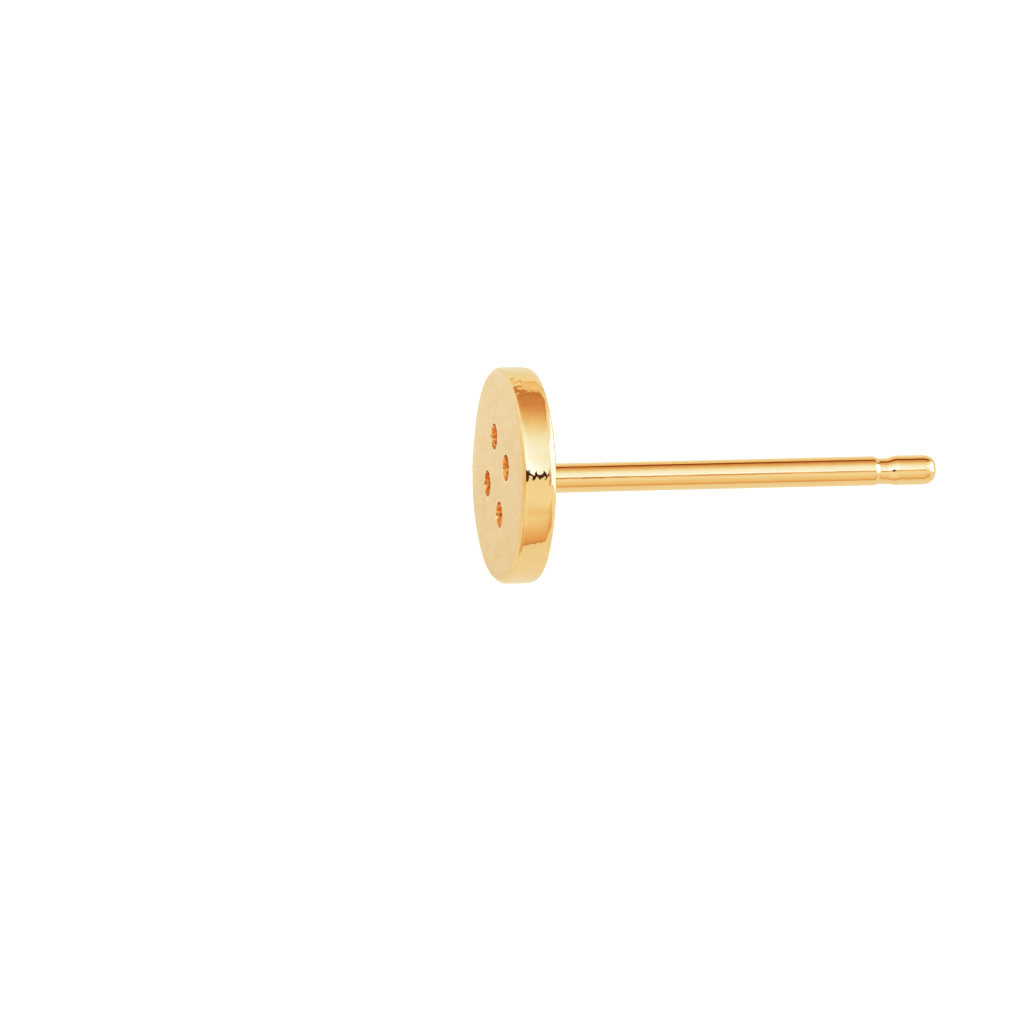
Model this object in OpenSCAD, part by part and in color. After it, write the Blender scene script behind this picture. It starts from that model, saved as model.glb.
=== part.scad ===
// Button stud earring: a round disc like a two-by-two sewing button, soldered to a plain ear post.
// It lies on its side, resting on the disc's back edge and on the tip of the post.

/* [Button disc] */
// Diameter of the disc
disc_d = 6; // [4.5:0.1:9]
// Thickness of the disc
disc_t = 1; // [0.7:0.01:1.5]
// Radius of the round on the edge of the polished front face
front_round = 0.12; // [0.02:0.01:0.15]
// Radius of the round on the back edge, broken for comfort
back_round = 0.19; // [0.05:0.01:0.25]

/* [Thread holes] */
// Diameter of each thread hole
hole_d = 0.7; // [0.4:0.05:0.9]
// Distance between neighbouring holes of the square
hole_pitch = 1.55; // [1.3:0.01:2]
// Width of the broken edge at each end of a hole
hole_chamfer = 0.04; // [0.02:0.01:0.08]

/* [Ear post] */
// Diameter of the post, a 20 gauge wire
post_d = 0.82; // [0.7:0.01:1]
// Length of the post from the disc's back to the tip
post_l = 11.5; // [10:0.1:13]
// Radius of the round at the tip
tip_round = 0.3; // [0.1:0.01:0.33]
// Radius of the solder seam round the foot of the post
seam_r = 0.1; // [0.05:0.01:0.2]

/* [Friction notch] */
// Distance from the tip back to the middle of the notch
notch_from_tip = 1.5; // [1:0.05:2]
// Width of the notch along the post
notch_w = 0.64; // [0.4:0.02:0.8]
// Depth of the notch below the wire's surface
notch_depth = 0.065; // [0.03:0.005:0.1]

/* [As it lies] */
// Turn of the lying stud about its own post, which shows as a turn of the square of holes
roll = -56; // [-180:1:180]

/* [Hidden] */
$fn = 128;
gold = [0.93, 0.77, 0.47];
disc_r = disc_d / 2;
post_r = post_d / 2;
// Length of post that is sunk in the disc, and how far a cutter reaches past what it cuts
sunk = disc_t / 4;
past = 0.1;
notch_steps = 16;
notch_z = disc_t + post_l - notch_from_tip;

// Where it lies: a plane touches the round of the disc's back edge and the round of the tip.
// The line between the centres of those two rounds leans by rise over run, and the difference
// of their radii leans the plane against that line.
rise = (disc_r - back_round) - (post_r - tip_round);
run = post_l - tip_round + back_round;
lean = atan2(rise, run) - asin((tip_round - back_round) / norm([rise, run]));

// Reach of the lying stud from the centre of the front face: down, to the left and to the right
reach_down = (disc_r - back_round) * cos(lean) + (disc_t - back_round) * sin(lean) + back_round;
reach_left = (disc_r - front_round) * sin(lean) - front_round * cos(lean) + front_round;
reach_right = (disc_t + post_l - tip_round) * cos(lean) + (post_r - tip_round) * sin(lean) + tip_round;

// Takes a quarter round of radius r off the outer corner of a profile, at the top or the bottom
module round_off(corner, r, top) {
    translate(corner)
        mirror([0, top ? 0 : 1])
            translate([-r, -r])
                difference() {
                    square(r + past);
                    circle(r);
                }
}

// Half section of the disc, front face at z = 0
module disc_profile() {
    difference() {
        square([disc_r, disc_t]);
        round_off([disc_r, 0], front_round, false);
        round_off([disc_r, disc_t], back_round, true);
    }
}

// Cutter of the notch: its floor rises to the wire's surface on each side as a cosine wave
module notch_profile() {
    wave = [
        for (i = [0 : notch_steps])
            let (turn = -180 + 360 * i / notch_steps)
                [-notch_depth * (1 + cos(turn)) / 2, notch_w * turn / 360]
    ];
    translate([post_r, notch_z])
        polygon(concat([[past, -notch_w / 2]], wave, [[past, notch_w / 2]]));
}

// Half section of the post, from inside the disc to the tip
module post_profile() {
    difference() {
        translate([0, disc_t - sunk])
            square([post_r, post_l + sunk]);
        round_off([post_r, disc_t + post_l], tip_round, true);
        notch_profile();
    }
}

// Half section of the solder seam, hollow between the post and the disc's back
module seam_profile() {
    difference() {
        translate([0, disc_t - sunk])
            square([post_r + seam_r, seam_r + sunk]);
        translate([post_r + seam_r, disc_t + seam_r])
            circle(seam_r);
    }
}

// One thread hole through the disc, its edge broken at both ends
module thread_hole() {
    translate([0, 0, -past])
        cylinder(d = hole_d, h = disc_t + 2 * past);
    for (end = [0, 1])
        translate([0, 0, end * disc_t])
            mirror([0, 0, end])
                translate([0, 0, -past])
                    cylinder(
                        r1 = hole_d / 2 + hole_chamfer + past,
                        r2 = hole_d / 2,
                        h = hole_chamfer + past
                    );
}

module button_disc() {
    color(gold)
        difference() {
            rotate_extrude()
                disc_profile();
            for (x = [-1, 1], y = [-1, 1])
                translate([x, y, 0] * hole_pitch / 2)
                    thread_hole();
        }
}

module ear_post() {
    color(gold)
        rotate_extrude() {
            post_profile();
            seam_profile();
        }
}

// Disc and post, soldered into one, lying with the tip towards +X
module button_stud() {
    translate([(reach_left - reach_right) / 2, 0, reach_down])
        rotate([0, 90 + lean, 0])
            rotate(roll) {
                button_disc();
                ear_post();
            }
}

button_stud();
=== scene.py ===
"""Dresses the button stud earring: a polished gold disc with four thread holes, soldered to a plain ear post.

Shapes are worked out in the stud's own frame, in millimetres: x and y lie in the disc's front face, and z
runs from that face through the disc and along the post to its tip. Lie turns and carries a point from there
to the part's frame.
"""

import logging
from dataclasses import dataclass, field
from enum import Enum

import bpy
import numpy as np
from mathutils import Matrix, Vector


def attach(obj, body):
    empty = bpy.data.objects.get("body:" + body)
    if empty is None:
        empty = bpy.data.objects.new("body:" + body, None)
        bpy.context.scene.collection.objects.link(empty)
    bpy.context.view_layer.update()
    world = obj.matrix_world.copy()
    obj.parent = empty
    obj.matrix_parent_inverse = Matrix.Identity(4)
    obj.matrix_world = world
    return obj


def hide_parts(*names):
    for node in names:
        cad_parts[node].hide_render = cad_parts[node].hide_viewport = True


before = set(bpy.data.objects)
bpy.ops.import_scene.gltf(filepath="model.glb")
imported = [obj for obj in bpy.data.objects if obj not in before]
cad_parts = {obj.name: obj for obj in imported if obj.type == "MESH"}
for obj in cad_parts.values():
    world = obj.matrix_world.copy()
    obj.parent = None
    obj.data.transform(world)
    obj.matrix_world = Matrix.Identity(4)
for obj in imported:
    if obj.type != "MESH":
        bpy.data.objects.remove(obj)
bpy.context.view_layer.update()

LOG = logging.getLogger("button_stud")
MM = 0.001
TINY = 1e-9
NOISE_MIDDLE = 0.5
QUARTERS = [np.linalg.matrix_power(np.array([[0, -1], [1, 0]]), turns) for turns in range(4)]
Array = np.ndarray
Colour = tuple[float, float, float]
Triple = tuple[float, float, float]
Pair = tuple[float, float]
Socket = bpy.types.NodeSocket
Tree = bpy.types.NodeTree


class Zone(Enum):
    """The parts of the metal that have a finish of their own, in the order of the material slots."""

    FACE = 0
    EDGE = 1
    HOLE = 2
    POST = 3


# Shapes


@dataclass(frozen=True)
class Lie:
    """How the stud lies: on the round of the disc's back edge and the round of the tip, tip towards +X.

    The line between the centres of those two rounds leans by rise over run, and the difference of their radii
    leans the floor against that line. Sizes are the solid part's, whose rounds differ a little from the
    dressed ones.
    """

    disc_r: float = 3.0
    front_round: float = 0.12
    back_round: float = 0.19
    disc_t: float = 1.0
    post_r: float = 0.41
    post_l: float = 11.5
    tip_round: float = 0.3
    roll_deg: float = -56.0

    @property
    def lean(self) -> float:
        """Angle of the post below the horizontal, in radians."""
        rise = (self.disc_r - self.back_round) - (self.post_r - self.tip_round)
        run = self.post_l - self.tip_round + self.back_round
        against = np.arcsin((self.tip_round - self.back_round) / np.hypot(rise, run))
        return float(np.arctan2(rise, run) - against)

    @property
    def axis(self) -> Array:
        """Direction from the front face towards the tip."""
        return np.array([np.cos(self.lean), 0.0, -np.sin(self.lean)])

    @property
    def up(self) -> Array:
        """Direction in the disc's face that points up."""
        return np.array([np.sin(self.lean), 0.0, np.cos(self.lean)])

    @property
    def face_centre(self) -> Array:
        """Middle of the front face in the part's frame, in mm."""
        cos, sin = np.cos(self.lean), np.sin(self.lean)
        down = (self.disc_r - self.back_round) * cos + (self.disc_t - self.back_round) * sin
        left = (self.disc_r - self.front_round) * sin - self.front_round * cos + self.front_round
        right = (self.disc_t + self.post_l - self.tip_round) * cos
        right += (self.post_r - self.tip_round) * sin + self.tip_round
        return np.array([(left - right) / 2, 0.0, down + self.back_round])

    @property
    def up_angle(self) -> float:
        """Angle in the own frame of the line along the stud that is uppermost as it lies, in radians."""
        return float(np.pi - np.radians(self.roll_deg))

    def to_part(self, own: Array) -> Array:
        """Turns own points by the roll, lays the axis down and carries the face to its place, in mm."""
        return self.face_centre + self.rolled(own) @ np.stack([-self.up, [0, 1, 0], self.axis])

    def rolled(self, own: Array) -> Array:
        """Turns own points about the axis by the roll, so that -x points up and y to the far side."""
        cos, sin = np.cos(np.radians(self.roll_deg)), np.sin(np.radians(self.roll_deg))
        return own @ np.array([[cos, sin, 0], [-sin, cos, 0], [0, 0, 1]])


@dataclass
class Skin:
    """Grids of points that are welded into one closed mesh, each with its zone.

    Points become one where they agree to so many decimals of a millimetre.
    """

    decimals: int = 5
    grids: list[tuple[Array, Zone]] = field(default_factory=list)

    def add(self, grid: Array, zone: Zone, outward: bool = True) -> None:
        """Keeps a grid of own points, rows by columns by 3, turned over if its faces would point inwards."""
        self.grids.append((grid if outward else grid[:, ::-1], zone))

    def weld(self) -> tuple[Array, Array, Array]:
        """Joins the grids and drops the faces that the joining made into lines.

        Returns:
            The points, the faces as rows of four corners with the last repeated in a triangle, and each
            face's zone.
        """
        points, quads, zones, start = [], [], [], 0
        for grid, zone in self.grids:
            rows, columns = grid.shape[:2]
            at = start + np.arange(rows * columns).reshape(rows, columns)
            quad = np.stack([at[:-1, :-1], at[:-1, 1:], at[1:, 1:], at[1:, :-1]], -1).reshape(-1, 4)
            points.append(grid.reshape(-1, 3))
            quads.append(quad)
            zones.append(np.full(len(quad), zone.value))
            start += rows * columns
        every, quads, zones = np.concatenate(points), np.concatenate(quads), np.concatenate(zones)
        near = np.round(every, self.decimals) + 0.0
        _, first, inverse = np.unique(near, axis=0, return_index=True, return_inverse=True)
        quads = inverse.reshape(-1)[quads]
        repeated = np.sum(quads == np.roll(quads, 1, axis=1), axis=1)
        return every[first], quads[repeated < 2], zones[repeated < 2]


def bell(place: Array, middle: float, width: float, power: int = 2) -> Array:
    """A soft hump: e to the minus power of the distance from the middle over the width."""
    return np.exp(-(np.abs((place - middle) / width) ** power))


def rise(value: Array, start: float, end: float) -> Array:
    """0 before the start, 1 past the end, and a straight line between them."""
    return np.clip((value - start) / (end - start), 0, 1)


def arc(centre: Pair, radius: float, start: float, end: float, steps: int) -> Array:
    """Points of an arc in the plane of radius and z, by the angle of its normal above the radial direction.

    Args:
        centre: radius and z of the arc's middle.
        radius: the arc's own radius.
        start: first angle, in radians.
        end: last angle, in radians.
        steps: how many stretches the arc has.

    Returns:
        Rows of radius and z.
    """
    turn = np.linspace(start, end, steps + 1)
    return np.stack([centre[0] + radius * np.cos(turn), centre[1] + radius * np.sin(turn)], -1)


def lathe(profile: Array, ring: Array) -> Array:
    """Carries a profile round the axis: each profile point's radius times the unit ring, at the point's z.

    Args:
        profile: rows of radius and z.
        ring: points of the unit circle.

    Returns:
        A grid of own points, profile by ring.
    """
    around = profile[:, :1, None] * ring[None]
    height = np.broadcast_to(profile[:, 1:, None], around.shape[:2] + (1,))
    return np.concatenate([around, height], -1)


def full_ring(quarter: Array) -> Array:
    """The quarter's points turned through four right angles, closed by its first point."""
    turned = np.concatenate([quarter[:-1] @ turn.T for turn in QUARTERS])
    return np.concatenate([turned, turned[:1]])


def quarter_round(radius: float, steps: int) -> tuple[Array, Array]:
    """A quarter round from a flat to a wall: how far its points stand off the wall and off the flat."""
    turn = np.linspace(0, np.pi / 2, steps + 1)
    return radius * (1 - np.sin(turn)), radius * (1 - np.cos(turn))


@dataclass
class ButtonDisc:
    """The flat disc: a polished front face, a crowned edge, a flat back and four thread holes.

    The panel rows give the rows of a face between a hole's mouth, 0, and the panel's border, 1.
    """

    radius: float = 3.0
    thickness: float = 1.0
    front_round: float = 0.15
    back_round: float = 0.14
    shoulder_r: float = 0.5
    edge_slopes_deg: Triple = (-1.5, 2.0, 17.0)
    dome: float = 0.02
    hole_r: float = 0.362
    hole_pitch: float = 1.55
    mouth_round: float = 0.018
    centre_r: float = 0.51
    arc_steps: int = 80
    line_steps: int = 22
    line_growth: float = 0.25
    even_share: float = 0.4
    centre_steps: int = 24
    dish_steps: int = 8
    mouth_steps: int = 6
    wall_steps: int = 12
    edge_steps: tuple[int, int, int, int] = (14, 36, 12, 16)
    panel_rows: tuple[float, ...] = (
        0, 0.012, 0.04, 0.1, 0.2, 0.32, 0.45, 0.58, 0.7, 0.81, 0.9, 0.955, 0.985, 1
    )

    def edge_profile(self) -> Array:
        """Half section of the edge, from the front face's border round to the back's.

        Four arcs meet smoothly: front round, crown, shoulder and back round. Their normals turn from the face
        by way of the three edge slopes to the back. The crown's radius makes the four as thick as the disc,
        and the first point lies so that the crown's widest place has the disc's radius.

        Returns:
            Rows of radius and z.
        """
        turns = np.radians([-90, *self.edge_slopes_deg, 90])
        radii = np.array([self.front_round, 0, self.shoulder_r, self.back_round])
        rises = np.diff(np.sin(turns))
        radii[1] = (self.thickness - radii @ rises) / rises[1]
        reach = self.front_round * np.cos(turns[1]) + radii[1] * (1 - np.cos(turns[1]))
        at, parts = np.array([self.radius - reach, 0.0]), []
        for radius, start, end, steps in zip(radii, turns, turns[1:], self.edge_steps):
            middle = at - radius * np.array([np.cos(start), np.sin(start)])
            parts.append(arc(middle, radius, start, end, steps))
            at = parts[-1][-1]
        return np.concatenate([parts[0]] + [part[1:] for part in parts[1:]])

    def quarter(self, steps: int) -> Array:
        """Unit circle points from the first axis to the second, evenly turned."""
        turn = np.linspace(0, np.pi / 2, steps + 1)
        return np.stack([np.cos(turn), np.sin(turn)], -1)

    def panel_border(self, outer_r: float) -> Array:
        """Border of a quarter of the face, from the inner circle out along one axis, round and back in.

        Args:
            outer_r: radius where the face meets the edge.

        Returns:
            A closed loop of points in the face, anticlockwise, its first point repeated at the end.
        """
        spread = np.linspace(0, 1, self.line_steps + 1)
        spread = (1 - self.line_growth) * spread + self.line_growth * spread**2
        line = self.centre_r + (outer_r - self.centre_r) * spread
        zero = np.zeros_like(line)
        outer = outer_r * self.quarter(self.arc_steps)
        inner = self.centre_r * self.quarter(self.centre_steps)[::-1]
        out, back = np.stack([line, zero], -1), np.stack([zero, line], -1)[::-1]
        return np.concatenate([out[:-1], outer[:-1], back[:-1], inner])

    def hole_loop(self, border: Array, radius: Array) -> Array:
        """Circles about the hole's middle, each point in the direction of its border point.

        The direction is a mean of the border point's own and of an even turn, so no stretch grows too long.

        Args:
            border: the panel's border loop.
            radius: the circles' radii, in mm.

        Returns:
            A grid of points in the face, circles by loop points.
        """
        middle = self.hole_pitch / 2
        spoke = border - middle
        turn = np.unwrap(np.arctan2(spoke[:, 1], spoke[:, 0]))
        even = turn[0] + 2 * np.pi * np.linspace(0, 1, len(turn))
        turn = (1 - self.even_share) * turn + self.even_share * even
        turn[-1] = turn[0] + 2 * np.pi
        circle = np.stack([np.cos(turn), np.sin(turn)], -1)
        circle[-1] = circle[0]
        return middle + radius[:, None, None] * circle[None]

    def build(self, skin: Skin) -> None:
        """Adds the edge, the two faces and the holes to the skin.

        A face is four panels. On a panel, the grid runs from the hole's mouth to the panel's border: the
        straight mean of the two by the panel rows. The mouths turn into the hole's wall by a quarter round,
        and the wall's points keep to its radius on the straight way from mouth to mouth. A dish of rings
        closes the middle of the front face.

        Args:
            skin: where the grids are kept.
        """
        profile = self.edge_profile()
        skin.add(lathe(profile, full_ring(self.quarter(self.arc_steps))), Zone.EDGE)
        lip, sunk = quarter_round(self.mouth_round, self.mouth_steps)
        depth = np.linspace(self.mouth_round, self.thickness - self.mouth_round, self.wall_steps + 1)[1:-1]
        radii = self.hole_r + np.concatenate([lip, np.zeros(len(depth)), lip[::-1]])
        heights = np.concatenate([sunk, depth, self.thickness - sunk[::-1]])
        borders = [self.panel_border(profile[end, 0]) for end in (0, -1)]
        front_loop, back_loop = (self.hole_loop(border, radii) for border in borders)
        rows = np.array(self.panel_rows)[:, None, None]
        for border, mouth, z in zip(borders, (front_loop[0], back_loop[0]), (0.0, self.thickness)):
            panel = self.at_height(mouth + rows * (border - mouth), np.full(len(rows), z))
            self.add_four(skin, panel, Zone.FACE, z == 0)
        middle = self.hole_pitch / 2
        spoke = front_loop + (heights / self.thickness)[:, None, None] * (back_loop - front_loop) - middle
        wall = middle + spoke * (radii[:, None] / np.linalg.norm(spoke, axis=-1))[..., None]
        wall[0], wall[-1] = front_loop[0], back_loop[-1]
        hole, lips = self.at_height(wall, heights), self.mouth_steps
        self.add_four(skin, hole[: lips + 1], Zone.EDGE, False)
        self.add_four(skin, hole[lips:-lips], Zone.HOLE, False)
        self.add_four(skin, hole[-lips - 1 :], Zone.EDGE, False)
        spread = np.linspace(self.centre_r, 0, self.dish_steps + 1)
        dish = np.stack([spread, 0 * spread], -1)
        skin.add(lathe(dish, full_ring(self.quarter(self.centre_steps))), Zone.FACE, False)

    def at_height(self, grid: Array, heights: Array) -> Array:
        """Gives each row of a flat grid its own height."""
        z = np.broadcast_to(heights[:, None, None], grid.shape[:2] + (1,))
        return np.concatenate([grid, z], -1)

    def add_four(self, skin: Skin, grid: Array, zone: Zone, outward: bool) -> None:
        """Adds a grid of the first quarter and its copies in the other three."""
        for turn in QUARTERS:
            skin.add(np.concatenate([grid[..., :2] @ turn.T, grid[..., 2:]], -1), zone, outward)


@dataclass
class EarPost:
    """The ear post: solder seam at its foot, drawn wire, friction notch and rounded tip."""

    radius: float = 0.41
    length: float = 11.5
    foot_z: float = 1.0
    seam_r: float = 0.1
    seam_steps: int = 8
    tip_round: float = 0.3
    tip_steps: int = 16
    flat_steps: int = 4
    taper: float = 0.006
    taper_from: float = 0.62
    notch_from_tip: float = 1.5
    notch_flat: Pair = (-0.116, 0.087)
    notch_sides: Pair = (0.16, 0.32)
    notch_margins: Pair = (0.02, 0.03)
    notch_depth: float = 0.0504
    notch_skew: float = 0.3
    row_step: float = 0.08
    notch_step: float = 0.02

    @property
    def tip_z(self) -> float:
        """Where the post ends."""
        return self.foot_z + self.length

    def wire_radius(self, z: Array, skew: Array | float = 0.0) -> Array:
        """The wire's radius: full, less a notch and a slight taper to the tip.

        The notch has a flat bottom between two flanks, each half a wave of a cosine, short towards the disc
        and longer towards the tip. It is a little deeper on one side, where skew is 1, than on the other.

        Args:
            z: places along the axis.
            skew: how far the place lies towards the deeper side, from -1 to 1.

        Returns:
            The radii.
        """
        off = z - (self.tip_z - self.notch_from_tip)
        before = (self.notch_flat[0] - off) / self.notch_sides[0]
        after = (off - self.notch_flat[1]) / self.notch_sides[1]
        wave = (1 + np.cos(np.pi * np.clip(np.maximum(before, after), 0, 1))) / 2
        notch = self.notch_depth * (1 + self.notch_skew * skew) * wave
        return self.radius - notch - self.taper * rise(z, self.tip_z - self.taper_from, self.tip_z) ** 2

    def profile(self) -> Array:
        """Half section from the disc's back to the tip: seam, wire with its notch, quarter round, flat end.

        The wire's rows are closer from just before the notch onwards.

        Returns:
            Rows of radius and z.
        """
        notch_z = self.tip_z - self.notch_from_tip
        off, up = quarter_round(self.seam_r, self.seam_steps)
        foot = np.stack([self.radius + off, self.foot_z + up], -1)
        first = notch_z + self.notch_flat[0] - self.notch_sides[0] - self.notch_margins[0]
        last = notch_z + self.notch_flat[1] + self.notch_sides[1] + self.notch_margins[1]
        ends = (foot[-1, 1], first, last, self.tip_z - self.tip_round)
        stretches = zip(ends, ends[1:], (self.row_step, self.notch_step, self.notch_step))
        rows = [np.linspace(low, high, round((high - low) / step) + 1)[:-1] for low, high, step in stretches]
        z = np.concatenate(rows)[1:]
        wire = np.stack([self.wire_radius(z), z], -1)
        round_r = self.radius - self.taper - self.tip_round
        tip = arc((round_r, ends[-1]), self.tip_round, 0, np.pi / 2, self.tip_steps)
        flat_r = np.linspace(tip[-1, 0], 0, self.flat_steps + 1)
        flat = np.stack([flat_r, np.full(len(flat_r), self.tip_z)], -1)
        return np.concatenate([foot, wire, tip, flat[1:]])

    def build(self, skin: Skin, ring: Array, up_angle: float) -> None:
        """Adds the post: its profile carried round the axis, with the notch deeper on the far side.

        Args:
            skin: where the grid is kept.
            ring: the unit ring that the disc's back has round its middle, so that the two meet.
            up_angle: angle of the uppermost line, a quarter turn before the far side, in radians.
        """
        profile = self.profile()
        grid = lathe(profile, ring)
        skew = ring @ np.array([np.sin(up_angle), -np.cos(up_angle)])
        z = profile[:, 1:]
        change = self.wire_radius(z, skew[None]) - self.wire_radius(z)
        change *= z < self.tip_z - self.tip_round
        grid[..., :2] += ring[None] * change[..., None]
        skin.add(grid, Zone.POST)


@dataclass
class BuffingWheel:
    """Hand polish: low waves that the buffing wheel leaves, and the metal that it takes off."""

    seed: int = 7
    waves: int = 26
    lengths: Pair = (0.7, 2.5)
    depth: float = 0.0006
    taken_off: float = 0.0018

    def height_at(self, own: Array) -> Array:
        """A sum of plane sine waves of seeded directions, lengths and phases, longer ones deeper.

        Args:
            own: own points, in mm.

        Returns:
            The height at each point over the unpolished metal, in mm.
        """
        draw = np.random.default_rng(self.seed)
        direction = draw.normal(size=(self.waves, 3))
        direction /= np.linalg.norm(direction, axis=1, keepdims=True)
        shortest, longest = self.lengths
        length = shortest * (longest / shortest) ** draw.random(self.waves)
        phase = draw.random(self.waves) * 2 * np.pi
        wave = np.sin(2 * np.pi * (own @ direction.T) / length + phase)
        return self.depth * (wave * length / longest).sum(1) / np.sqrt(self.waves) - self.taken_off


@dataclass(frozen=True)
class RimSpot:
    """A soft place at the disc's rim.

    Place and width are in degrees from the uppermost line towards the far side. The spot grows with the
    square of the radius, from its start, a share of the disc's radius, to its depth in mm at the rim.
    """

    place: float
    width: float
    depth: float
    start: float


@dataclass(frozen=True)
class PaintedHoleShading:
    """Painted shade and a painted highlight in the colour of a hole's wall: painted shade at its two sides,
    in a row of spots and deep down, and one painted glint line.

    Spot, gap and glint line are middles and widths. Places across the wall are in radii towards the far side,
    and depths below the front face are in mm.
    """

    side_shade: float = 1.3
    spot_shade: float = 0.9
    spot: Pair = (0.02, 0.1)
    gap: Pair = (0.09, 0.04)
    deep_shade: float = 0.25
    deep: Pair = (0.06, 0.14)
    glint_line: Pair = (-0.24, 0.13)
    glint_deep: float = 0.35
    glint_mouth: float = 0.75
    glint_fade: float = 0.07

    def painted_shade(self, across: Array, depth: Array) -> Array:
        """Painted shade: the fourth power of the place across, a bell parted by a gap in the depth, and the
        deep.
        """
        spots = self.spot_shade * bell(across, *self.spot) * (1 - bell(depth, *self.gap))
        return np.clip(self.side_shade * across**4 + spots + self.deep_shade * rise(depth, *self.deep), 0, 1)

    def painted_glint(self, across: Array, depth: Array) -> Array:
        """Painted highlight: a bell of the place across, brightest at the hole's mouth."""
        fading = self.glint_deep + self.glint_mouth * bell(depth, 0, self.glint_fade)
        return bell(across, *self.glint_line) * fading


@dataclass
class ButtonStud:
    """The whole stud as one closed piece of soldered metal.

    Marks have a place and a width round the stud, in degrees, and the top mark starts over a stretch of z.
    Widths of worn edges and of the painted highlight rings at the holes' mouths are in mm.
    """

    disc: ButtonDisc = field(default_factory=ButtonDisc)
    post: EarPost = field(default_factory=EarPost)
    wheel: BuffingWheel = field(default_factory=BuffingWheel)
    lie: Lie = field(default_factory=Lie)
    painted_hole_shading: PaintedHoleShading = field(default_factory=PaintedHoleShading)
    front_worn: tuple[RimSpot, ...] = (RimSpot(152, 20, 0.03, 0.7), RimSpot(-98, 14, 0.06, 0.92))
    back_full: RimSpot = RimSpot(-74, 34, 0.036, 0.7)
    post_off: Pair = (0.102, 0.031)
    post_off_fade: float = 0.22
    top_mark: Pair = (0, 5.5)
    top_mark_from: Pair = (0.14, 0.19)
    dents: Pair = (56, 8)
    dents_depth: float = 0.36
    patches: tuple[Pair, ...] = ((-48, 5), (38, 4), (118, 6), (187, 5), (250, 7))
    front_wear_w: float = 0.09
    back_wear_w: float = 0.13
    # Painted highlight ring at the holes' mouths: its width, its offset from the wall and its strength.
    mouth_highlight_w: float = 0.03
    mouth_highlight_off: float = 0.035
    mouth_highlight: float = 3.0
    wall_margin: float = 0.002

    def normals(self, points: Array, quads: Array) -> Array:
        """Unit normal at each point: the sum of the cross products of its faces' diagonals.

        Args:
            points: the mesh's points.
            quads: its faces as rows of four corners.

        Returns:
            The normals.
        """
        corner = points[quads]
        across = np.cross(corner[:, 2] - corner[:, 0], corner[:, 3] - corner[:, 1])
        total = np.zeros_like(points)
        for corners in quads.T:
            np.add.at(total, corners, across)
        return total / np.linalg.norm(total, axis=1, keepdims=True)

    def build(self, finishes: list[bpy.types.Material]) -> bpy.types.Object:
        """Builds the mesh, carries it to where the stud lies and dresses it.

        Four attributes go with the mesh: own_mm, each point in the own frame after the roll; around, the
        direction round the axis; marks, where the buffing wheel dug in; and a fourth with the painted shade
        and painted glint of the holes' walls and how near an edge is: the rims wear bright, and the holes'
        mouths take a painted highlight ring.

        Args:
            finishes: the materials in the order of Zone.

        Returns:
            The object.
        """
        skin = Skin()
        self.disc.build(skin)
        self.post.build(skin, full_ring(self.disc.quarter(self.disc.centre_steps)), self.lie.up_angle)
        own, quads, zones = skin.weld()
        shaped = own + self.normals(own, quads) * self.wheel.height_at(own)[:, None]
        shaped[:, 2] += self.sunk(own)
        placed = self.lie.to_part(shaped)
        placed[:, 1] -= self.aside(own)
        radius = np.hypot(own[:, 0], own[:, 1]) + TINY
        around = np.stack([-own[:, 1], own[:, 0], 0 * radius], 1) / radius[:, None]
        corners = [list(dict.fromkeys(q)) for q in quads.tolist()]
        mesh = bpy.data.meshes.new("button_stud_gold")
        mesh.from_pydata((placed * MM).tolist(), [], corners)
        mesh.polygons.foreach_set("material_index", zones.astype(np.int32))
        mesh.polygons.foreach_set("use_smooth", np.ones(len(quads), bool))
        for name, values in (
            ("own_mm", self.lie.rolled(own)),
            ("around", self.lie.to_part(around) - self.lie.face_centre),
            ("marks", self.marks(own)),
            ("painted_light_and_wear", self.painted_light_and_wear(own)),
        ):
            layer = mesh.attributes.new(name, "FLOAT_VECTOR", "POINT")
            layer.data.foreach_set("vector", values.astype(np.float32).ravel())
        for finish in finishes:
            mesh.materials.append(finish)
        mesh.validate()
        obj = bpy.data.objects.new("button_stud_gold", mesh)
        bpy.context.scene.collection.objects.link(obj)
        return obj

    def aside(self, own: Array) -> Array:
        """How far the post was soldered off the disc's middle, towards the near side.

        The offset changes evenly from the foot to the tip. On the disc's back it fades from the seam outwards
        by a smooth step, and the rest of the disc has none.

        Args:
            own: own points, in mm.

        Returns:
            The offsets, in mm.
        """
        at_foot, at_tip = self.post_off
        along = rise(own[:, 2], self.disc.thickness, self.post.tip_z)
        radius = np.hypot(own[:, 0], own[:, 1])
        fade = rise(radius, self.disc.centre_r + self.post_off_fade, self.disc.centre_r)
        on_back = own[:, 2] > self.disc.thickness - TINY
        return (at_foot + along * (at_tip - at_foot)) * fade**2 * (3 - 2 * fade) * on_back

    def sunk(self, own: Array) -> Array:
        """How far a point lies towards the back, by the polish of the front and the disc's uneven thickness.

        The front face is a low dome, so it sinks with the square of the radius, and its rim has worn a little
        more in soft places. All of this fades through the disc's thickness. At the back, the near side's
        border stands a little fuller.

        Args:
            own: own points, in mm.

        Returns:
            The depths, in mm.
        """
        radius = np.hypot(own[:, 0], own[:, 1]) / self.disc.radius
        through = rise(own[:, 2], 0, self.disc.thickness)
        front = self.disc.dome * radius**2 + sum(self.rim_depth(own, spot) for spot in self.front_worn)
        return front * (1 - through) + self.rim_depth(own, self.back_full) * through

    def rim_depth(self, own: Array, spot: RimSpot) -> Array:
        """How deep a soft place at the rim is at each point, in mm."""
        radius = np.hypot(own[:, 0], own[:, 1]) / self.disc.radius
        return self.bell_round(own, spot.place, spot.width) * spot.depth * rise(radius, spot.start, 1) ** 2

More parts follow.
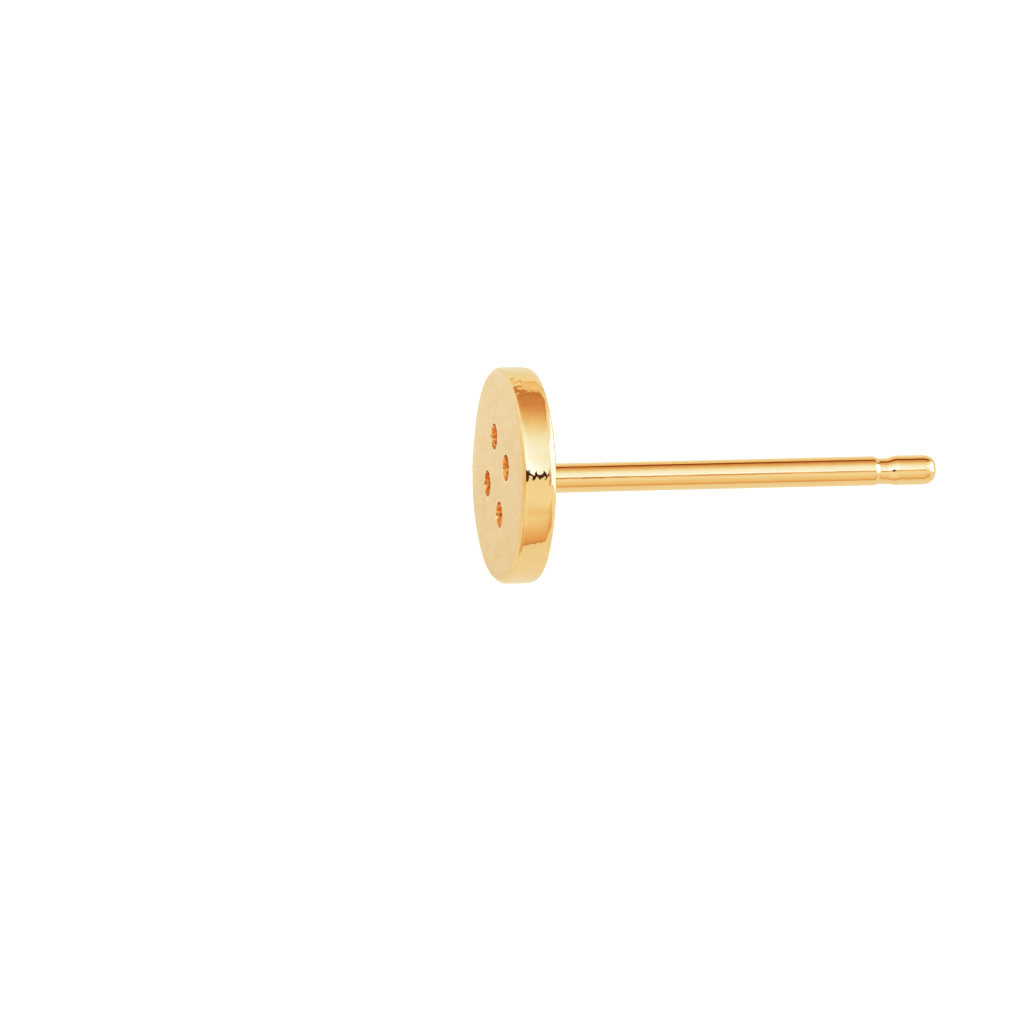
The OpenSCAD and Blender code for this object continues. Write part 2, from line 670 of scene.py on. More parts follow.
    def bell_round(self, own: Array, place: float, width: float, power: int = 2) -> Array:
        """A bell of the angle from the uppermost line towards the far side.

        Args:
            own: own points, in mm.
            place: the bell's middle, in degrees.
            width: its width, in degrees.
            power: the bell's power.

        Returns:
            The bell's height at each point.
        """
        angle = np.arctan2(own[:, 1], own[:, 0])
        off = (self.lie.up_angle - angle - np.radians(place) + np.pi) % (2 * np.pi) - np.pi
        return bell(off, 0, np.radians(width), power)

    def marks(self, own: Array) -> Array:
        """Where the wheel dug in: on the uppermost line, in dents near the front edge and in faint patches.

        The first is a flat-topped bell that starts behind the front corner. The dents fade along the axis.

        Args:
            own: own points, in mm.

        Returns:
            The three strengths as columns.
        """
        z = own[:, 2]
        top = self.bell_round(own, *self.top_mark, power=4) * rise(z, *self.top_mark_from)
        dents = self.bell_round(own, *self.dents) * bell(z, 0, self.dents_depth)
        patches = sum(self.bell_round(own, *patch) for patch in self.patches)
        return (z <= self.disc.thickness)[:, None] * np.stack([top, dents, patches], 1)

    def painted_light_and_wear(self, own: Array) -> Array:
        """Painted shade and painted glint on a hole's wall, and how near an edge is, for wear at the rims and
        a painted highlight at the mouths.

        An edge's nearness is a bell of the distance from it: the two rims, which wear bright, and the mouths
        of the holes, where it draws a painted highlight ring.

        Args:
            own: own points, in mm.

        Returns:
            The painted shade, the painted glint and the edge nearness as columns.
        """
        disc, z = self.disc, own[:, 2]
        offset = own[:, :2] - disc.hole_pitch / 2 * np.where(own[:, :2] < 0, -1, 1)
        across = self.lie.rolled(np.concatenate([offset, own[:, 2:]], 1))[:, 1] / disc.hole_r
        distance = np.hypot(offset[:, 0], offset[:, 1])
        on_wall = (np.abs(distance - disc.hole_r) < self.wall_margin) & (z <= disc.thickness)
        out = np.hypot(own[:, 0], own[:, 1]) - disc.radius
        edge = bell(np.hypot(out, z), 0, self.front_wear_w)
        edge += bell(np.hypot(out, z - disc.thickness), 0, self.back_wear_w)
        # Painted highlight ring on the face round each hole's mouth.
        mouth = np.hypot(distance - disc.hole_r - self.mouth_highlight_off, np.minimum(z, disc.thickness - z))
        edge += self.mouth_highlight * bell(mouth, 0, self.mouth_highlight_w)
        painted_shade, painted_glint = self.painted_hole_shading.painted_shade(across, z), self.painted_hole_shading.painted_glint(across, z)
        return np.stack([on_wall * painted_shade, on_wall * painted_glint, edge], 1)


# Shader nodes


@dataclass
class Graph:
    """Adds nodes to one node tree. A value may be a number, a tuple or another node's socket."""

    tree: Tree

    @classmethod
    def blank(cls, owner: bpy.types.Material | bpy.types.World) -> "Graph":
        """Starts the nodes of a new material or world.

        Args:
            owner: the material or world.

        Returns:
            Its empty graph.
        """
        owner.use_nodes = True
        owner.node_tree.nodes.clear()
        return cls(owner.node_tree)

    def node(self, kind: str, inputs: dict | None = None, **settings: object) -> bpy.types.Node:
        """Adds a node, sets its settings and feeds its inputs.

        Args:
            kind: the node's type, without the words ShaderNode.
            inputs: values or sockets by input name or number.
            settings: the node's own properties.

        Returns:
            The node.
        """
        made = self.tree.nodes.new(kind if kind.startswith("Node") else "ShaderNode" + kind)
        for name, value in settings.items():
            setattr(made, name, value)
        for name, value in (inputs or {}).items():
            self.feed(made.inputs[name], value)
        return made

    def feed(self, socket: Socket, value: object) -> None:
        """Links a socket to the input, or sets the input to the value.

        Args:
            socket: the input.
            value: the socket or value that it takes.
        """
        if isinstance(value, Socket):
            self.tree.links.new(value, socket)
        elif isinstance(value, tuple) and socket.type == "RGBA":
            socket.default_value = (*value, 1.0)
        else:
            socket.default_value = value

    def math(self, operation: str, *values: object) -> Socket:
        """A Math node's result."""
        return self.node("Math", dict(enumerate(values)), operation=operation).outputs[0]

    def times(self, first: object, second: object) -> Socket:
        """The product of two values."""
        return self.math("MULTIPLY", first, second)

    def line(self, value: object, slope: object, start: object) -> Socket:
        """The value times the slope, added to the start."""
        return self.math("MULTIPLY_ADD", value, slope, start)

    def rest(self, value: object) -> Socket:
        """What the value leaves of 1."""
        return self.math("SUBTRACT", 1.0, value)

    def vector(self, operation: str, *values: object) -> Socket:
        """A Vector Math node's vector result."""
        return self.node("VectorMath", dict(enumerate(values)), operation=operation).outputs[0]

    def split(self, vector: Socket) -> bpy.types.bpy_prop_collection:
        """A vector's parts X, Y and Z."""
        return self.node("SeparateXYZ", {"Vector": vector}).outputs

    def attribute(self, name: str) -> Socket:
        """The mesh's attribute of that name as a vector."""
        return self.node("Attribute", attribute_name=name).outputs["Vector"]

    def smooth(self, value: object, low: object, high: object) -> Socket:
        """0 below low, 1 above high, and a smooth step between them."""
        inputs = {"Value": value, "From Min": low, "From Max": high}
        return self.node("MapRange", inputs, interpolation_type="SMOOTHSTEP", clamp=True).outputs[0]

    def band(self, value: object, rising: Pair, falling: Pair) -> Socket:
        """1 within a band, with a smooth step up over the rising pair and down over the falling one."""
        return self.times(self.smooth(value, *rising), self.rest(self.smooth(value, *falling)))

    def mix(self, share: object, first: object, second: object) -> Socket:
        """A mix of two colours: the first at share 0 and the second at share 1."""
        return self.node("Mix", {0: share, 6: first, 7: second}, data_type="RGBA").outputs[2]

    def noise(self, vector: object, scale: object, detail: float) -> Socket:
        """A Noise Texture's value."""
        return self.node("TexNoise", {"Vector": vector, "Scale": scale, "Detail": detail}).outputs["Fac"]

    def group(self, tree: Tree, inputs: dict[str, object]) -> bpy.types.bpy_prop_collection:
        """Places a node group and feeds its inputs; gives its outputs."""
        return self.node("Group", inputs, node_tree=tree).outputs

    def ramp(self, value: object, stops: list[tuple[float, Colour]]) -> Socket:
        """A Color Ramp's colour.

        Args:
            value: the place on the ramp.
            stops: places and colours, sorted by place.

        Returns:
            The colour there.
        """
        made = self.node("ValToRGB", {"Fac": value})
        elements = made.color_ramp.elements
        for place, _ in stops[len(elements) :]:
            elements.new(place)
        for k, (place, _) in enumerate(stops):
            elements[k].position = place
        for k, (_, colour) in enumerate(stops):
            elements[k].color = (*colour, 1.0)
        return made.outputs["Color"]


def new_group(name: str, inputs: dict[str, str], outputs: dict[str, str]) -> tuple[Graph, dict, dict]:
    """Starts a shader node group.

    Args:
        name: the group's name.
        inputs: socket kinds by input name.
        outputs: socket kinds by output name.

    Returns:
        The group's graph, its inputs by name and, by name, the sockets that its results are fed to.
    """
    tree = bpy.data.node_groups.new(name, "ShaderNodeTree")
    for way, sockets in (("INPUT", inputs), ("OUTPUT", outputs)):
        for socket, kind in sockets.items():
            tree.interface.new_socket(name=socket, in_out=way, socket_type="NodeSocket" + kind)
    g = Graph(tree)
    given, end = g.node("NodeGroupInput"), g.node("NodeGroupOutput")
    return g, {s: given.outputs[s] for s in inputs}, {s: end.inputs[s] for s in outputs}


def buffing_group() -> Tree:
    """Orange peel of a buffed surface: a coarse and a fine noise of the position, added as height and tone.

    Returns:
        The group.
    """
    fine_height, even = 0.25, 0.5
    kinds = {"Position": "Vector", "Coarse": "Float", "Fine": "Float"}
    g, given, end = new_group("buffed_surface", kinds, {"Height": "Float", "Tone": "Float"})
    coarse = g.noise(given["Position"], given["Coarse"], detail=1.0)
    fine = g.noise(given["Position"], given["Fine"], detail=3.0)
    g.feed(end["Height"], g.math("ADD", coarse, g.times(fine, fine_height)))
    g.feed(end["Tone"], g.line(fine, even, g.times(coarse, even)))
    return g.tree


def hairline_group() -> Tree:
    """Hairline scratches: the narrow middle band of a stretched noise, cut short by a second noise.

    Returns:
        The group.
    """
    kinds = {"Position": "Vector", "Stretch": "Vector", "Width": "Float"}
    g, given, end = new_group("hairlines", kinds, {"Mask": "Float"})
    stretched = g.vector("MULTIPLY", given["Position"], given["Stretch"])
    off = g.math("SUBTRACT", g.noise(stretched, scale=1.0, detail=0.0), NOISE_MIDDLE)
    off = g.math("ABSOLUTE", off)
    scratch = g.rest(g.smooth(off, 0.0, given["Width"]))
    broken = g.smooth(g.noise(given["Position"], scale=2.3, detail=1.0), low=0.48, high=0.62)
    g.feed(end["Mask"], g.times(scratch, broken))
    return g.tree


def edge_wear_and_highlight_group() -> Tree:
    """Edges made pale: the rims worn bright and a painted highlight ring at the holes' mouths, by the
    nearness of an edge, roughened by a noise of the position.

    Returns:
        The group.
    """
    g, given, end = new_group("edge_wear_and_highlight", {"Position": "Vector", "Edge": "Float"}, {"Mask": "Float"})
    patchy = g.smooth(g.noise(given["Position"], scale=5.0, detail=2.0), low=0.35, high=0.65)
    g.feed(end["Mask"], g.times(given["Edge"], patchy))
    return g.tree


def wheel_marks_group() -> Tree:
    """Marks of the wheel: ridges across the axis that lean the surface to and fro round it.

    The lean is a sine of the place along the axis, its phase and depth changed by noises of the position. It
    is added to the surface's normal along the direction round the axis.

    Returns:
        The group.
    """
    kinds = {"Position": "Vector", "Around": "Vector", "Waves": "Float", "Wander": "Float", "Lean": "Float"}
    g, given, end = new_group("wheel_marks", kinds, {"Normal": "Vector"})
    place = given["Position"]
    wander = g.times(g.noise(place, scale=4.0, detail=1.0), given["Wander"])
    wave = g.math("SINE", g.line(g.split(place)["Z"], g.times(given["Waves"], 2 * np.pi), wander))
    depth = g.line(g.noise(place, scale=3.1, detail=0.0), slope=1.6, start=0.2)
    lean = g.times(g.times(wave, depth), given["Lean"])
    ways = {"vector_type": "VECTOR", "convert_from": "OBJECT", "convert_to": "WORLD"}
    around = g.node("VectorTransform", {"Vector": given["Around"]}, **ways).outputs[0]
    normal = g.vector("ADD", g.node("NewGeometry").outputs["Normal"], g.vector("MULTIPLY", around, lean))
    g.feed(end["Normal"], g.vector("NORMALIZE", normal))
    return g.tree


# Finishes


# Pale gold for worn rims and for the painted highlight rings at the holes' mouths.
WORN_AND_HIGHLIGHT_GOLD = (0.97, 0.82, 0.56)
# Painted shade: near-black red-brown for the dark sides, spots and depths of the holes' walls.
PAINTED_HOLE_SHADE = (0.20, 0.020, 0.0015)
# Painted highlight: the colour of the glint line on the holes' walls.
PAINTED_GLINT_GOLD = (1.0, 0.84, 0.34)
PALE_GOLD = (0.93, 0.725, 0.42)
WARM_GOLD = (0.91, 0.68, 0.36)


@dataclass(frozen=True)
class GoldFinish:
    """One polish of the same yellow gold; the holes' finish has painted interreflection and painted shade in
    its colours.

    Depths are in mm and scales in marks a mm. Stretches give marks a mm along x, y and z. The wheel's marks
    have waves a mm along the axis and lean the surface by a share of a radian, everywhere and on the
    uppermost line.
    """

    name: str
    pale: Colour
    warm: Colour
    roughness: float
    metallic: float = 1.0
    shade_scale: float = 0.9
    shade_share: float = 0.6
    shade_soft: float = 0.2
    mottle: float = 0.2
    coarse: float = 2.0
    fine: float = 11.0
    grain: Triple = (1.0, 1.0, 1.0)
    peel_depth: float = 0.0006
    rough_spread: float = 0.6
    rough_base: float = 0.7
    dent_scale: float = 4.2
    dent_depth: float = 0.0
    patch_share: float = 0.03
    line_stretch: Triple = (3.0, 3.0, 30.0)
    line_width: float = 0.012
    line_depth: float = 0.0001
    line_rough: float = 0.06
    streak_stretch: Triple = (0.5, 0.5, 14.0)
    streak_depth: float = 0.0
    wave_rate: float = 4.0
    wander: float = 12.0
    lean: float = 0.0
    top_lean: float = 0.0
    worn_and_highlight_share: float = 0.7
    # Patches that break up the painted glint and the painted shade of the holes' walls.
    patchy_scale: float = 8.0
    patchy_range: Pair = (0.42, 0.56)
    patchy_shade: float = 0.8

    def build(self, groups: dict[str, Tree]) -> bpy.types.Material:
        """Makes the material: gold whose tone, roughness and normal come from the groups.

        Args:
            groups: the shader node groups by name.

        Returns:
            The material.
        """
        material = bpy.data.materials.new(self.name)
        g = Graph.blank(material)
        own = g.attribute("own_mm")
        marks, painted_light_and_wear = g.split(g.attribute("marks")), g.split(g.attribute("painted_light_and_wear"))
        grain = g.vector("MULTIPLY", own, self.grain)
        sizes = {"Coarse": self.coarse, "Fine": self.fine}
        peel = g.group(groups["buffed_surface"], {"Position": grain, **sizes})
        sizes = {"Stretch": self.line_stretch, "Width": self.line_width}
        lines = g.group(groups["hairlines"], {"Position": own, **sizes})["Mask"]
        worn_and_highlight = g.group(groups["edge_wear_and_highlight"], {"Position": own, "Edge": painted_light_and_wear["Z"]})["Mask"]
        sizes = {"Waves": self.wave_rate, "Wander": self.wander}
        sizes["Lean"] = g.line(marks["X"], self.top_lean, self.lean)
        wheel = g.group(groups["wheel_marks"], {"Position": own, "Around": g.attribute("around"), **sizes})
        mottled = g.times(peel["Tone"], self.mottle)
        shade = g.line(g.noise(own, self.shade_scale, detail=2.0), self.shade_share, mottled)
        middle = (self.shade_share + self.mottle) / 2
        shade = g.smooth(shade, middle - self.shade_soft, middle + self.shade_soft)
        # Worn rims and the painted highlight rings at the holes' mouths mix towards pale gold.
        colour = g.mix(g.times(worn_and_highlight, self.worn_and_highlight_share), g.mix(shade, self.pale, self.warm), WORN_AND_HIGHLIGHT_GOLD)
        patchy = g.smooth(g.noise(own, self.patchy_scale, detail=1.0), *self.patchy_range)
        # Painted highlight: the glint line on the holes' walls, broken into patches.
        colour = g.mix(g.times(painted_light_and_wear["Y"], patchy), colour, PAINTED_GLINT_GOLD)
        # Painted shade: the holes' walls are darkened at their sides, in spots and deep down, and lifted in
        # patches.
        colour = g.mix(g.times(painted_light_and_wear["X"], g.rest(g.times(patchy, self.patchy_shade))), colour, PAINTED_HOLE_SHADE)
        rough = g.line(peel["Tone"], self.roughness * self.rough_spread, self.roughness * self.rough_base)
        rough = g.line(lines, self.line_rough, rough)
        dents = g.line(marks["Z"], self.patch_share, marks["Y"])
        uneven = g.math("SUBTRACT", g.noise(own, self.dent_scale, detail=1.0), NOISE_MIDDLE)
        dents = g.times(uneven, dents)
        streaks = g.noise(g.vector("MULTIPLY", own, self.streak_stretch), scale=1.0, detail=1.0)
        height = g.times(peel["Height"], self.peel_depth)
        height = g.line(dents, self.dent_depth, height)
        height = g.line(streaks, self.streak_depth, height)
        height = g.line(lines, -self.line_depth, height)
        bump = g.node("Bump", {"Strength": 1.0, "Distance": MM, "Height": height, "Normal": wheel["Normal"]})
        look = {"Base Color": colour, "Metallic": self.metallic, "Roughness": rough}
        shader = g.node("BsdfPrincipled", {**look, "Normal": bump.outputs[0]})
        g.node("OutputMaterial", {"Surface": shader.outputs["BSDF"]})
        return material


FINISHES = [
    GoldFinish(
        "satin_face_gold", (0.918, 0.722, 0.41), (0.885, 0.64, 0.30), roughness=0.17, mottle=0.9,
        coarse=2.2, fine=10.0, grain=(0.35, 1.4, 1.0), peel_depth=0.0016, line_stretch=(3.0, 40.0, 3.0),
    ),
    GoldFinish(
        "bright_edge_gold", PALE_GOLD, WARM_GOLD, roughness=0.05, peel_depth=0.0004, dent_depth=0.1,
        streak_depth=0.0004, wave_rate=5.6, wander=13.0, lean=0.004, top_lean=0.025,
    ),
    # Painted interreflection and painted shade: the holes' deep orange and red-brown base colours stand in
    # for light bounced many times between the walls.
    GoldFinish(
        "hole_gold_painted_interreflection", (1.0, 0.64, 0.11), (0.78, 0.15, 0.006), roughness=0.3, metallic=0.3, mottle=2.4,
        coarse=7.0, fine=20.0, grain=(1.2, 1.2, 2.0), peel_depth=0.006, line_stretch=(9.0, 9.0, 30.0),
    ),
    GoldFinish(
        "drawn_post_gold", PALE_GOLD, WARM_GOLD, roughness=0.05, coarse=2.2, fine=12.0, peel_depth=0.0009,
        line_stretch=(24.0, 24.0, 1.0), streak_stretch=(9.0, 9.0, 0.3), streak_depth=0.0002,
        wave_rate=1.7, wander=9.0, lean=0.006,
    ),
]


# Studio


@dataclass(frozen=True)
class Wall:
    """One wall of the light tent, seen from the stud.

    The wall starts at an angle round the stud, in degrees from the tip's end towards the far side, and the
    change from the wall before it is soft over some degrees. Each stop is an elevation in degrees, then the
    light there as red, green and blue. A slanting wall's stops lie higher towards the tip's end.
    """

    start: float
    soft: float
    stops: tuple[tuple[float, float, float, float], ...]
    slants: bool = False

    def ramp_stops(self) -> list[tuple[float, Colour]]:
        """The stops by height, from 0, straight down, to 1, straight up."""
        return [((elevation + 90) / 180, tuple(light)) for elevation, *light in self.stops]


SHEET = (0.91, 0.86, 0.70)
GLOW = (1.6, 1.85, 2.5)
CREAM = (1.0, 0.93, 0.74)
DARK = (0.03, 0.01, 0.004)
IVORY = (0.98, 0.92, 0.70)
STRAW = (0.94, 0.86, 0.64)
SHADED_SHEET = (0.76, 0.60, 0.36)
PEARL = (1.05, 1.22, 1.48)
ICE = (1.08, 1.32, 1.7)
WALLS = (
    Wall(-180, 1, stops=(
        (-90, *SHEET), (-63, 0.87, 0.745, 0.54), (-25, 0.90, 0.80, 0.58), (20, 0.93, 0.70, 0.37),
        (58, 0.90, 0.61, 0.30), (78, *CREAM),
    )),
    Wall(-152, 9, stops=(
        (-90, *SHEET), (-60, 0.90, 0.83, 0.65), (-20, 0.93, 0.83, 0.57), (30, 0.93, 0.76, 0.42),
        (75, *CREAM),
    )),
    Wall(-120, 9, stops=(
        (-90, *SHEET), (-60, 0.91, 0.85, 0.68), (-10, 0.93, 0.83, 0.56), (2, 0.85, 0.55, 0.25),
        (25, 0.80, 0.44, 0.18), (50, 0.93, 0.78, 0.48), (75, *CREAM),
    )),
    Wall(-98, 7, slants=True, stops=(
        (-90, *SHEET), (-55, 0.91, 0.88, 0.75), (-30, 0.94, 0.855, 0.66), (-3, 0.93, 0.85, 0.61),
        (5.6, 0.93, 0.81, 0.55), (6.6, 0.55, 0.22, 0.06), (8.5, 0.76, 0.38, 0.14), (12, 0.82, 0.46, 0.19),
        (18, 0.87, 0.53, 0.23), (32, 0.92, 0.72, 0.41), (45, 0.97, 0.89, 0.63), (56, *IVORY),
        (90, *CREAM),
    )),
    Wall(-53, 2, stops=(
        (-90, *SHEET), (-20, *STRAW), (-6, 0.80, 0.50, 0.23), (18, 0.82, 0.54, 0.26),
        (30, 0.92, 0.72, 0.43), (46, 0.96, 0.85, 0.57), (56, *IVORY), (90, *CREAM),
    )),
    Wall(-49, 2, stops=(
        (-90, *SHEET), (-20, *STRAW), (20, 0.95, 0.88, 0.62), (56, *IVORY), (90, *CREAM),
    )),
    Wall(-1, 3, stops=(
        (-90, *SHADED_SHEET), (-48, 0.80, 0.66, 0.42), (-30, 0.98, 0.93, 0.72), (-14, *GLOW), (41, *GLOW),
        (45, 1.02, 1.15, 1.15), (50, 1.0, 1.13, 1.12), (57, 1.03, 1.2, 1.36), (61.5, *ICE), (64.5, *GLOW),
    )),
    Wall(38, 8, stops=(
        (-90, *SHADED_SHEET), (-60, 0.80, 0.67, 0.43), (-26, 0.92, 0.8, 0.57), (0, 0.95, 0.9, 0.7),
        (25, 0.97, 0.98, 0.85), (45, 1.01, 1.13, 1.15), (54, *PEARL), (61.5, *ICE), (64.5, *GLOW),
    )),
    Wall(57, 6, stops=(
        (-90, *SHEET), (-56, 0.92, 0.93, 0.80), (-44, 0.94, 0.87, 0.63), (-38, 0.97, 0.94, 0.74),
        (-33, 0.96, 0.91, 0.68), (-31, 0.92, 0.50, 0.16), (-29.5, 0.92, 0.53, 0.19),
        (-27, 0.97, 0.81, 0.47), (-23.5, 0.93, 0.66, 0.33), (-20, 0.98, 0.83, 0.52),
        (-17, 0.92, 0.66, 0.33), (-14, 0.90, 0.60, 0.27), (-12, 0.60, 0.24, 0.08), (-8, 0.61, 0.26, 0.09),
        (-4, 0.67, 0.30, 0.12), (6, 0.69, 0.32, 0.13), (12, 0.76, 0.41, 0.18), (18, 0.83, 0.53, 0.26),
        (25, 0.90, 0.68, 0.37), (32, 0.94, 0.84, 0.59), (39, 0.98, 1.0, 0.83), (45, 1.01, 1.14, 1.15),
        (54, *PEARL), (90, *GLOW),
    )),
    Wall(113, 12, stops=(
        (-90, *SHEET), (-60, 0.92, 0.88, 0.74), (0, 0.96, 0.92, 0.74), (45, 0.98, 1.02, 0.84),
        (75, 1.05, 1.25, 1.5), (88, *GLOW),
    )),
    Wall(157, 10, stops=(
        (-90, *SHEET), (-63, 0.95, 0.915, 0.80), (-25, 0.91, 0.81, 0.60), (20, 0.93, 0.71, 0.39),
        (66, 0.90, 0.65, 0.34), (73, *GLOW), (90, *GLOW),
    )),
)


@dataclass(frozen=True)
class LightTent:
    """Soft light from all sides, with the walls that the polished metal mirrors.

    The walls stand round the stud from the front's side by way of the near side, the tip's end and the far
    side. The camera looks in through an oval opening in the cloth, over the stud at some x. The opening is
    measured on a unit sphere, turns and elevations in degrees, and the slant in shares of a half turn.
    """

    opening_x: float
    opening_half: Pair = (0.065, 0.16)
    opening_soft: Pair = (0.85, 1.15)
    opening_over: Pair = (0.0, 0.1)
    plain: float = 1.9
    slant_turns: Pair = (-86, -66)
    slant: Pair = (-0.02, 0.04)
    near_rising: Pair = (-85, -65)
    near_falling: Pair = (-30, -14)
    near_lean: float = -0.6
    end_rising: Pair = (-16, -8)
    end_falling: Pair = (2, 30)
    end_reach: float = 12.0
    low_until: Pair = (35, 44)

    def build(self) -> None:
        """Makes the world: plain white for the floor and the eye, the tent's walls for what is mirrored."""
        world = bpy.data.worlds.new("light_tent")
        bpy.context.scene.world = world
        g = Graph.blank(world)
        way = g.split(g.node("TexCoord").outputs["Generated"])
        x, y, z = way["X"], way["Y"], way["Z"]
        height = g.line(g.math("ARCSINE", z), 1 / np.pi, 0.5)
        turn = self.lean_walls(g, g.times(g.math("ARCTAN2", y, x), 180 / np.pi), height)
        slant = g.line(g.smooth(turn, *self.slant_turns), self.slant[1] - self.slant[0], self.slant[0])
        slanting = g.math("SUBTRACT", height, slant)
        tent = None
        for wall in WALLS:
            light = g.ramp(slanting if wall.slants else height, wall.ramp_stops())
            share = g.smooth(turn, wall.start - wall.soft / 2, wall.start + wall.soft / 2)
            tent = light if tent is None else g.mix(share, tent, light)
        ahead = g.math("DIVIDE", g.math("SUBTRACT", x, self.opening_x), self.opening_half[0])
        beside = g.math("POWER", g.math("DIVIDE", y, self.opening_half[1]), 2.0)
        away = g.math("SQRT", g.line(ahead, ahead, beside))
        port = g.times(g.rest(g.smooth(away, *self.opening_soft)), g.smooth(z, *self.opening_over))
        plain = g.node("Background", {"Color": (self.plain,) * 3})
        walls = g.node("Background", {"Color": g.mix(port, tent, DARK)})
        both = g.node("MixShader", {0: g.node("LightPath").outputs["Is Glossy Ray"]})
        g.feed(both.inputs[1], plain.outputs[0])
        g.feed(both.inputs[2], walls.outputs[0])
        g.node("OutputWorld", {"Surface": both.outputs[0]})

    def lean_walls(self, g: Graph, turn: Socket, height: Socket) -> Socket:
        """Leans the near walls of the tip's end and carries the bright end cloth under them.

        A wall in the near band leans by its elevation times the near lean. In the end band, the bright cloth
        reaches some degrees past the middle. Both fade away where the elevation is no longer low.

        Args:
            g: the world's graph.
            turn: angle round the stud from the tip's end, in degrees.
            height: height from 0, straight down, to 1, straight up.

        Returns:
            The changed angle.
        """
        elevation = g.line(height, 180, -90)
        low = g.rest(g.smooth(elevation, *self.low_until))
        near = g.band(turn, self.near_rising, self.near_falling)
        end = g.band(turn, self.end_rising, self.end_falling)
        leaning = g.times(g.times(g.times(elevation, near), self.near_lean), low)
        return g.math("ADD", g.math("ADD", turn, leaning), g.times(g.times(end, low), self.end_reach))


def studio_card(name: str, corners: Array) -> tuple[bpy.types.Object, Graph]:
    """Makes a flat card of the studio with an empty material.

    Args:
        name: the card's and its material's name.
        corners: its four corners, in metres.

    Returns:
        The card and the graph of its material.
    """
    mesh = bpy.data.meshes.new(name)
    mesh.from_pydata(corners.tolist(), [], [(0, 1, 2, 3)])
    material = bpy.data.materials.new(name)
    mesh.materials.append(material)
    card = bpy.data.objects.new(name, mesh)
    bpy.context.scene.collection.objects.link(card)
    return card, Graph.blank(material)


@dataclass(frozen=True)
class Floor:
    """The plain white sheet that the stud lies on, in metres, with a faint grain."""

    half: float = 2.0
    colour: Colour = (0.92, 0.92, 0.915)
    grain_colour: Colour = (0.8, 0.8, 0.8)
    grain_scale: float = 900.0
    grain_share: float = 0.04

    def build(self) -> bpy.types.Object:
        """Makes the sheet. What the metal mirrors of it is part of the tent.

        Returns:
            The sheet.
        """
        corners = self.half * np.array([[-1, -1, 0], [1, -1, 0], [1, 1, 0], [-1, 1, 0]])
        sheet, g = studio_card("white_sheet", corners)
        grain = g.noise(g.node("TexCoord").outputs["Object"], self.grain_scale, detail=2.0)
        colour = g.mix(g.times(grain, self.grain_share), self.colour, self.grain_colour)
        g.node("OutputMaterial", {"Surface": g.node("BsdfDiffuse", {"Color": colour}).outputs[0]})
        sheet.visible_glossy = False
        return sheet


@dataclass(frozen=True)
class Ribbon:
    """A ribbon or card hung near the stud, seen only in the metal: it draws a line or a patch there.

    Its middle runs from start to end, in mm from the middle of the front face; across is half its width and
    the direction of it. The light is what the metal mirrors of it, and it changes in patches, so many a
    metre, to the faded light.
    """

    name: str
    start: Triple
    end: Triple
    across: Triple
    light: Colour
    faded: Colour
    patches: float = 700.0
    patch_range: Pair = (0.46, 0.58)

    def build(self, lie: Lie) -> bpy.types.Object:
        """Makes the ribbon as one stretch between two cross lines, hidden from all but mirrored light.

        Args:
            lie: how the stud lies.

        Returns:
            The ribbon.
        """
        start, end, across = (np.array(v) for v in (self.start, self.end, self.across))
        corners = lie.face_centre + np.array([start - across, end - across, end + across, start + across])
        ribbon, g = studio_card(self.name, corners * MM)
        patches = g.noise(g.node("TexCoord").outputs["Object"], self.patches, detail=1.0)
        light = g.mix(g.smooth(patches, *self.patch_range), self.light, self.faded)
        g.node("OutputMaterial", {"Surface": g.node("Emission", {"Color": light}).outputs[0]})
        for sight in ("camera", "diffuse", "shadow", "transmission"):
            setattr(ribbon, "visible_" + sight, False)
        return ribbon


WHITE = (1.2, 1.4, 1.8)
RIBBONS = (
    Ribbon("card_behind_disc", (1.68, -0.04, 2.95), (2.35, -0.04, 2.95), (0, 0.32, 0), WHITE, WHITE),
    Ribbon(
        "ribbon_over_corner", (-2.6, -0.19, 12), (4.93, -0.19, 12), (0, 1.15, 0), (0.06, 0.014, 0.004),
        (0.10, 0.03, 0.01),
    ),
    Ribbon(
        "ribbon_over_disc", (4.93, -0.18, 12), (6.9, -0.18, 12), (0, 0.54, 0), (0.05, 0.012, 0.004),
        (0.09, 0.02, 0.005),
    ),
    Ribbon(
        "ribbon_over_foot", (7.0, -0.8, 12), (10.3, -0.8, 12), (0, 1.7, 0), (0.54, 0.19, 0.045),
        (1.0, 0.80, 0.45), patches=2600,
    ),
    Ribbon(
        "ribbon_high", (16.2, -1.4, 24), (17.8, -1.4, 24), (0, 3.2, 0), (0.70, 0.32, 0.11),
        (1.0, 0.85, 0.50),
    ),
    Ribbon(
        "ribbon_over_post", (11.6, -0.8, 12), (24, -0.8, 12), (0, 1.6, 0), (0.78, 0.40, 0.16),
        (0.94, 0.68, 0.38),
    ),
    Ribbon(
        "ribbon_beside_post", (1.2, 1.2, -0.025), (12.95, 1.2, -2.694), (0, 0.019, 0.143),
        (0.25, 0.06, 0.012), (0.36, 0.10, 0.02),
    ),
)


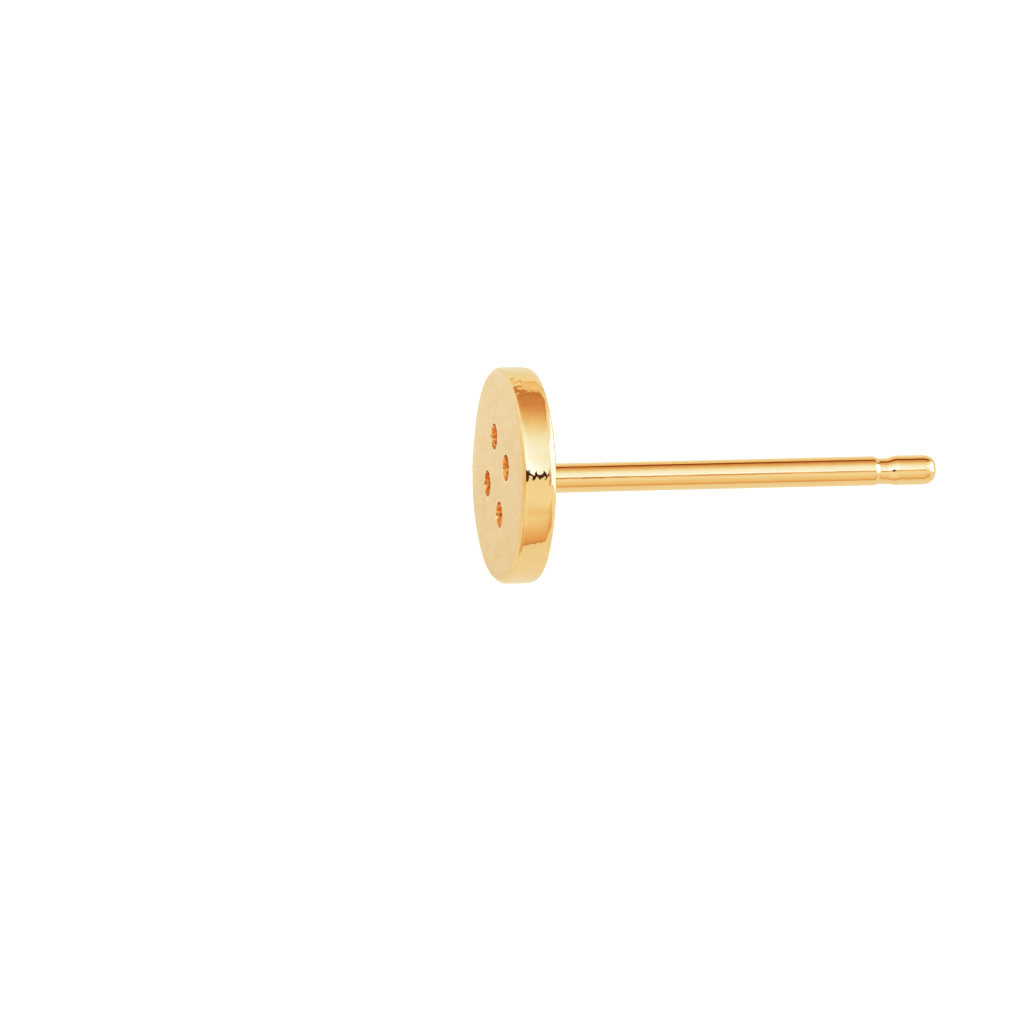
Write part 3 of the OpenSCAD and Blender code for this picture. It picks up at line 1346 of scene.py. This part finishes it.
@dataclass(frozen=True)
class ProductCamera:
    """A long lens above the stud, a little off square to the post so that the front face shows."""

    face_turn_deg: float = 13.85
    roll_deg: float = 0.98
    distance: float = 1000.0
    px_per_mm: float = 36.22
    face_px: Pair = (496.25, 475.65)
    frame_px: float = 1024.0
    sensor: float = 36.0
    clip: Pair = (0.01, 10.0)

    def direction(self, lie: Lie) -> Array:
        """Direction from the stud to the camera: square to the post, turned towards the front face."""
        from_up = lie.lean - np.radians(self.face_turn_deg)
        return np.array([np.sin(from_up), 0.0, np.cos(from_up)])

    def build(self, lie: Lie) -> bpy.types.Object:
        """Makes the camera: the front face's middle falls on its pixel, and the post rises by the roll.

        Args:
            lie: how the stud lies.

        Returns:
            The camera.
        """
        back = self.direction(lie)
        along = lie.axis - back * (lie.axis @ back)
        along /= np.linalg.norm(along)
        roll = np.radians(self.roll_deg)
        right = along * np.cos(roll) - np.cross(back, along) * np.sin(roll)
        up = np.cross(back, right)
        off = (np.array(self.face_px) - self.frame_px / 2) / self.px_per_mm
        place = lie.face_centre - right * off[0] + up * off[1] + back * self.distance
        data = bpy.data.cameras.new("product_camera")
        data.sensor_width = self.sensor
        data.lens = self.px_per_mm * self.distance * self.sensor / self.frame_px
        data.clip_start, data.clip_end = self.clip
        camera = bpy.data.objects.new("product_camera", data)
        bpy.context.scene.collection.objects.link(camera)
        turn = Matrix(np.stack([right, up, back], 1).tolist()).to_4x4()
        camera.matrix_world = Matrix.Translation(Vector(place * MM)) @ turn
        bpy.context.scene.camera = camera
        return camera


def main() -> None:
    """Builds the stud, the floor, the light and the camera."""
    logging.basicConfig(level=logging.INFO, format="%(name)s: %(message)s")
    makers = (buffing_group, hairline_group, edge_wear_and_highlight_group, wheel_marks_group)
    groups = {tree.name: tree for tree in (make() for make in makers)}
    stud = ButtonStud()
    piece = stud.build([finish.build(groups) for finish in FINISHES])
    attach(piece, "root")
    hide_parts("button_stud")
    LOG.info("%s: %d points, %d faces", piece.name, len(piece.data.vertices), len(piece.data.polygons))
    sheet = Floor().build()
    LOG.info("%s: floor", sheet.name)
    for ribbon in RIBBONS:
        ribbon.build(stud.lie)
        LOG.info("%s: ribbon", ribbon.name)
    view = ProductCamera()
    LightTent(float(view.direction(stud.lie)[0])).build()
    LOG.info("%s: lens %.0f mm", view.build(stud.lie).name, bpy.context.scene.camera.data.lens)
    bpy.context.scene.view_settings.view_transform = "Standard"


if __name__ == "__main__":
    main()
